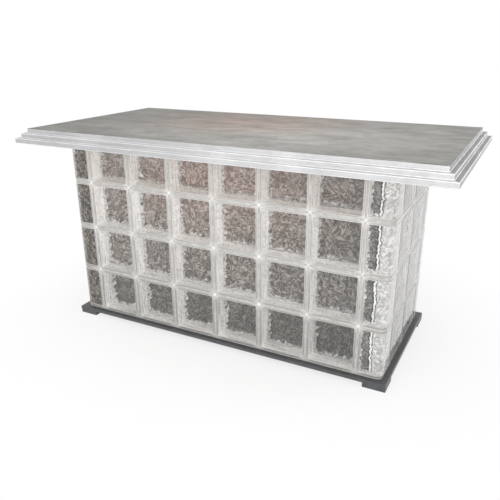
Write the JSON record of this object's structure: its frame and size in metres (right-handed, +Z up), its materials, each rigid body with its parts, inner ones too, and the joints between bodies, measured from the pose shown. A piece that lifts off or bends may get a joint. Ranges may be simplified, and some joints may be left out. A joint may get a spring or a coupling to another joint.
{
  "type": "buffet table",
  "caption": "Free-standing buffet table with walls of hollow rippled glass blocks on a black base and a broad metal-clad top with a stepped edge.",
  "frame": {"origin": "on the floor under the middle of the top", "axes": "+X along the table to the right as seen from the front, +Y from front to back, +Z up"},
  "size_m": [1.818, 0.931, 0.8661],
  "materials": {
    "block_glass": "clear hollow glass with an irregular rippled inner face and pale coated edges",
    "sealant": "pale translucent silicone",
    "spacer_plastic": "pale plastic",
    "pad_rubber": "dense black foam rubber",
    "base_black": "board painted satin black",
    "screw_steel": "plain zinc-plated steel",
    "top_metal": "brushed sheet with faint scratches",
    "board_wood": "plain plywood and softwood"
  },
  "bodies": {
    "root": {"base_bedding": "sealant", "base_board": "base_black", "cleat_back": "board_wood", "cleat_front": "board_wood", "cleat_left": "board_wood", "cleat_right": "board_wood", "cleat_screws": "screw_steel", "corner_bedding": "sealant", "corner_units_back_left": "block_glass", "corner_units_back_right": "block_glass", "corner_units_front_left": "block_glass", "corner_units_front_right": "block_glass", "course_1_back_blocks": "block_glass", "course_1_front_blocks": "block_glass", "course_1_left_blocks": "block_glass", "course_1_right_blocks": "block_glass", "course_2_back_blocks": "block_glass", "course_2_front_blocks": "block_glass", "course_2_left_blocks": "block_glass", "course_2_right_blocks": "block_glass", "course_3_back_blocks": "block_glass", "course_3_front_blocks": "block_glass", "course_3_left_blocks": "block_glass", "course_3_right_blocks": "block_glass", "course_4_back_blocks": "block_glass", "course_4_front_blocks": "block_glass", "course_4_left_blocks": "block_glass", "course_4_right_blocks": "block_glass", "edge_trim_back": "top_metal", "edge_trim_front": "top_metal", "edge_trim_left": "top_metal", "edge_trim_right": "top_metal", "foot_back_left": "base_black", "foot_back_right": "base_black", "foot_front_left": "base_black", "foot_front_right": "base_black", "foot_screws": "screw_steel", "head_pads": "pad_rubber", "level_spacers_1": "spacer_plastic", "level_spacers_2": "spacer_plastic", "level_spacers_3": "spacer_plastic", "low_edge_strip_back": "board_wood", "low_edge_strip_front": "board_wood", "low_edge_strip_left": "board_wood", "low_edge_strip_right": "board_wood", "mid_edge_strip_back": "board_wood", "mid_edge_strip_front": "board_wood", "mid_edge_strip_left": "board_wood", "mid_edge_strip_right": "board_wood", "sealant_back": "sealant", "sealant_front": "sealant", "sealant_left": "sealant", "sealant_right": "sealant", "top_board": "board_wood", "top_sheet": "top_metal", "upright_spacers_back": "spacer_plastic", "upright_spacers_front": "spacer_plastic", "upright_spacers_left": "spacer_plastic", "upright_spacers_right": "spacer_plastic"}
  },
  "joints": []
}
